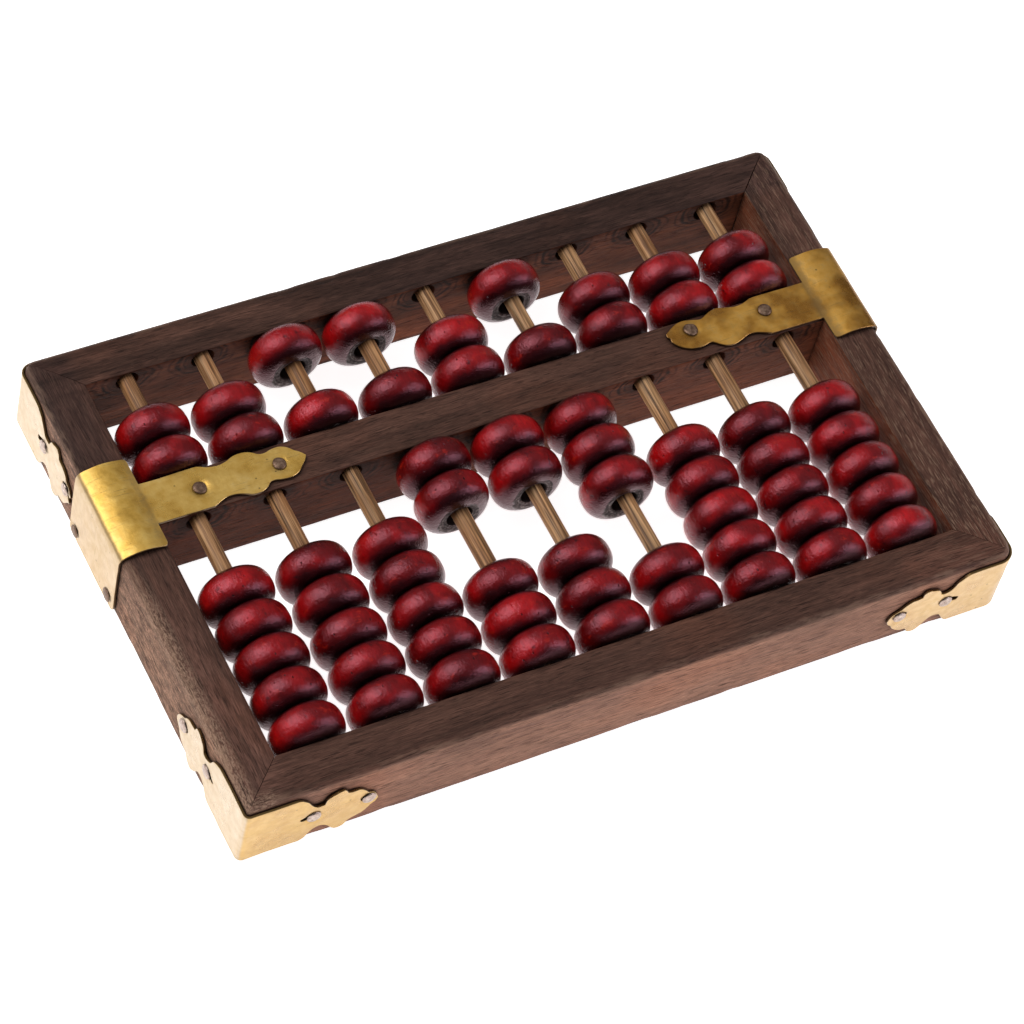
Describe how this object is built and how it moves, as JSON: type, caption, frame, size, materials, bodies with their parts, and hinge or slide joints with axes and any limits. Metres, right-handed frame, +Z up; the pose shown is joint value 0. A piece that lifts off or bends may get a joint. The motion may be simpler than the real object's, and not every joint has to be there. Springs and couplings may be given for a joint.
{
  "type": "abacus",
  "caption": "Tabletop abacus: mitred wooden frame with a dividing beam, bamboo rods carrying sliding lacquered beads in an upper and a lower deck, brass corner plates and T-straps.",
  "frame": {"origin": "middle of the footprint, on the surface the frame rests on", "axes": "+X along the long rails, +Y from the lower (five-bead) deck to the upper (two-bead) deck, +Z up, away from the resting surface"},
  "size_m": [0.1924, 0.1254, 0.0247],
  "materials": {
    "dark_wood": "stained, waxed, open pores",
    "bamboo": "bare, lengthwise fibres",
    "red_lacquer": "gloss lacquer worn at the ends",
    "brass_sheet": "satin, lightly tarnished",
    "nail_bronze": "dull, dark"
  },
  "bodies": {
    "frame": {"front_rail": "dark_wood", "back_rail": "dark_wood", "left_rail": "dark_wood", "right_rail": "dark_wood", "beam": "dark_wood", "rod_1": "bamboo", "rod_2": "bamboo", "rod_3": "bamboo", "rod_4": "bamboo", "rod_5": "bamboo", "rod_6": "bamboo", "rod_7": "bamboo", "rod_8": "bamboo", "rod_9": "bamboo", "corner_plate_fl": "brass_sheet", "corner_plate_fr": "brass_sheet", "corner_plate_bl": "brass_sheet", "corner_plate_br": "brass_sheet", "strap_left": "brass_sheet", "strap_right": "brass_sheet", "corner_nails": "nail_bronze", "strap_nails": "nail_bronze"},
    "heaven_1a": {"heaven_1a": "red_lacquer"},
    "heaven_1b": {"heaven_1b": "red_lacquer"},
    "earth_1a": {"earth_1a": "red_lacquer"},
    "earth_1b": {"earth_1b": "red_lacquer"},
    "heaven_2a": {"heaven_2a": "red_lacquer"},
    "heaven_2b": {"heaven_2b": "red_lacquer"},
    "earth_2a": {"earth_2a": "red_lacquer"},
    "earth_2b": {"earth_2b": "red_lacquer"},
    "heaven_3a": {"heaven_3a": "red_lacquer"},
    "heaven_3b": {"heaven_3b": "red_lacquer"},
    "earth_3a": {"earth_3a": "red_lacquer"},
    "earth_3b": {"earth_3b": "red_lacquer"},
    "heaven_4a": {"heaven_4a": "red_lacquer"},
    "heaven_4b": {"heaven_4b": "red_lacquer"},
    "earth_4a": {"earth_4a": "red_lacquer"},
    "earth_4b": {"earth_4b": "red_lacquer"},
    "heaven_5a": {"heaven_5a": "red_lacquer"},
    "heaven_5b": {"heaven_5b": "red_lacquer"},
    "earth_5a": {"earth_5a": "red_lacquer"},
    "earth_5b": {"earth_5b": "red_lacquer"},
    "heaven_6a": {"heaven_6a": "red_lacquer"},
    "heaven_6b": {"heaven_6b": "red_lacquer"},
    "earth_6a": {"earth_6a": "red_lacquer"},
    "earth_6b": {"earth_6b": "red_lacquer"},
    "heaven_7a": {"heaven_7a": "red_lacquer"},
    "heaven_7b": {"heaven_7b": "red_lacquer"},
    "earth_7a": {"earth_7a": "red_lacquer"},
    "earth_7b": {"earth_7b": "red_lacquer"},
    "heaven_8a": {"heaven_8a": "red_lacquer"},
    "heaven_8b": {"heaven_8b": "red_lacquer"},
    "earth_8a": {"earth_8a": "red_lacquer"},
    "earth_8b": {"earth_8b": "red_lacquer"},
    "heaven_9a": {"heaven_9a": "red_lacquer"},
    "heaven_9b": {"heaven_9b": "red_lacquer"},
    "earth_9a": {"earth_9a": "red_lacquer"},
    "earth_9b": {"earth_9b": "red_lacquer"}
  },
  "joints": [
    {"name": "heaven_1a_slide", "type": "slide", "parent": "frame", "child": "heaven_1a", "axis": [0, 1, 0], "range_m": [0, 0.01025]},
    {"name": "heaven_1b_slide", "type": "slide", "parent": "heaven_1a", "child": "heaven_1b", "axis": [0, -1, 0], "range_m": [-0.01025, 0]},
    {"name": "earth_1b_slide", "type": "slide", "parent": "frame", "child": "earth_1b", "axis": [0, 1, 0], "range_m": [0, 0.016]},
    {"name": "earth_1a_slide", "type": "slide", "parent": "earth_1b", "child": "earth_1a", "axis": [0, -1, 0], "range_m": [-0.016, 0]},
    {"name": "heaven_2a_slide", "type": "slide", "parent": "frame", "child": "heaven_2a", "axis": [0, 1, 0], "range_m": [0, 0.01025]},
    {"name": "heaven_2b_slide", "type": "slide", "parent": "heaven_2a", "child": "heaven_2b", "axis": [0, -1, 0], "range_m": [-0.01025, 0]},
    {"name": "earth_2b_slide", "type": "slide", "parent": "frame", "child": "earth_2b", "axis": [0, 1, 0], "range_m": [0, 0.016]},
    {"name": "earth_2a_slide", "type": "slide", "parent": "earth_2b", "child": "earth_2a", "axis": [0, -1, 0], "range_m": [-0.016, 0]},
    {"name": "heaven_3a_slide", "type": "slide", "parent": "frame", "child": "heaven_3a", "axis": [0, 1, 0], "range_m": [0, 0.01025]},
    {"name": "heaven_3b_slide", "type": "slide", "parent": "frame", "child": "heaven_3b", "axis": [0, 1, 0], "range_m": [-0.01025, 0]},
    {"name": "earth_3b_slide", "type": "slide", "parent": "frame", "child": "earth_3b", "axis": [0, 1, 0], "range_m": [0, 0.016]},
    {"name": "earth_3a_slide", "type": "slide", "parent": "earth_3b", "child": "earth_3a", "axis": [0, -1, 0], "range_m": [-0.016, 0]},
    {"name": "heaven_4a_slide", "type": "slide", "parent": "frame", "child": "heaven_4a", "axis": [0, 1, 0], "range_m": [0, 0.01025]},
    {"name": "heaven_4b_slide", "type": "slide", "parent": "frame", "child": "heaven_4b", "axis": [0, 1, 0], "range_m": [-0.01025, 0]},
    {"name": "earth_4b_slide", "type": "slide", "parent": "frame", "child": "earth_4b", "axis": [0, 1, 0], "range_m": [0, 0.016]},
    {"name": "earth_4a_slide", "type": "slide", "parent": "frame", "child": "earth_4a", "axis": [0, 1, 0], "range_m": [-0.016, 0]},
    {"name": "heaven_5a_slide", "type": "slide", "parent": "frame", "child": "heaven_5a", "axis": [0, 1, 0], "range_m": [0, 0.01025]},
    {"name": "heaven_5b_slide", "type": "slide", "parent": "heaven_5a", "child": "heaven_5b", "axis": [0, -1, 0], "range_m": [-0.01025, 0]},
    {"name": "earth_5b_slide", "type": "slide", "parent": "frame", "child": "earth_5b", "axis": [0, 1, 0], "range_m": [0, 0.016]},
    {"name": "earth_5a_slide", "type": "slide", "parent": "frame", "child": "earth_5a", "axis": [0, 1, 0], "range_m": [-0.016, 0]},
    {"name": "heaven_6a_slide", "type": "slide", "parent": "frame", "child": "heaven_6a", "axis": [0, 1, 0], "range_m": [0, 0.01025]},
    {"name": "heaven_6b_slide", "type": "slide", "parent": "frame", "child": "heaven_6b", "axis": [0, 1, 0], "range_m": [-0.01025, 0]},
    {"name": "earth_6b_slide", "type": "slide", "parent": "frame", "child": "earth_6b", "axis": [0, 1, 0], "range_m": [0, 0.016]},
    {"name": "earth_6a_slide", "type": "slide", "parent": "frame", "child": "earth_6a", "axis": [0, 1, 0], "range_m": [-0.016, 0]},
    {"name": "heaven_7a_slide", "type": "slide", "parent": "frame", "child": "heaven_7a", "axis": [0, 1, 0], "range_m": [0, 0.01025]},
    {"name": "heaven_7b_slide", "type": "slide", "parent": "heaven_7a", "child": "heaven_7b", "axis": [0, -1, 0], "range_m": [-0.01025, 0]},
    {"name": "earth_7b_slide", "type": "slide", "parent": "frame", "child": "earth_7b", "axis": [0, 1, 0], "range_m": [0, 0.016]},
    {"name": "earth_7a_slide", "type": "slide", "parent": "earth_7b", "child": "earth_7a", "axis": [0, -1, 0], "range_m": [-0.016, 0]},
    {"name": "heaven_8a_slide", "type": "slide", "parent": "frame", "child": "heaven_8a", "axis": [0, 1, 0], "range_m": [0, 0.01025]},
    {"name": "heaven_8b_slide", "type": "slide", "parent": "heaven_8a", "child": "heaven_8b", "axis": [0, -1, 0], "range_m": [-0.01025, 0]},
    {"name": "earth_8b_slide", "type": "slide", "parent": "frame", "child": "earth_8b", "axis": [0, 1, 0], "range_m": [0, 0.016]},
    {"name": "earth_8a_slide", "type": "slide", "parent": "earth_8b", "child": "earth_8a", "axis": [0, -1, 0], "range_m": [-0.016, 0]},
    {"name": "heaven_9a_slide", "type": "slide", "parent": "frame", "child": "heaven_9a", "axis": [0, 1, 0], "range_m": [0, 0.01025]},
    {"name": "heaven_9b_slide", "type": "slide", "parent": "heaven_9a", "child": "heaven_9b", "axis": [0, -1, 0], "range_m": [-0.01025, 0]},
    {"name": "earth_9b_slide", "type": "slide", "parent": "frame", "child": "earth_9b", "axis": [0, 1, 0], "range_m": [0, 0.016]},
    {"name": "earth_9a_slide", "type": "slide", "parent": "earth_9b", "child": "earth_9a", "axis": [0, -1, 0], "range_m": [-0.016, 0]}
  ]
}
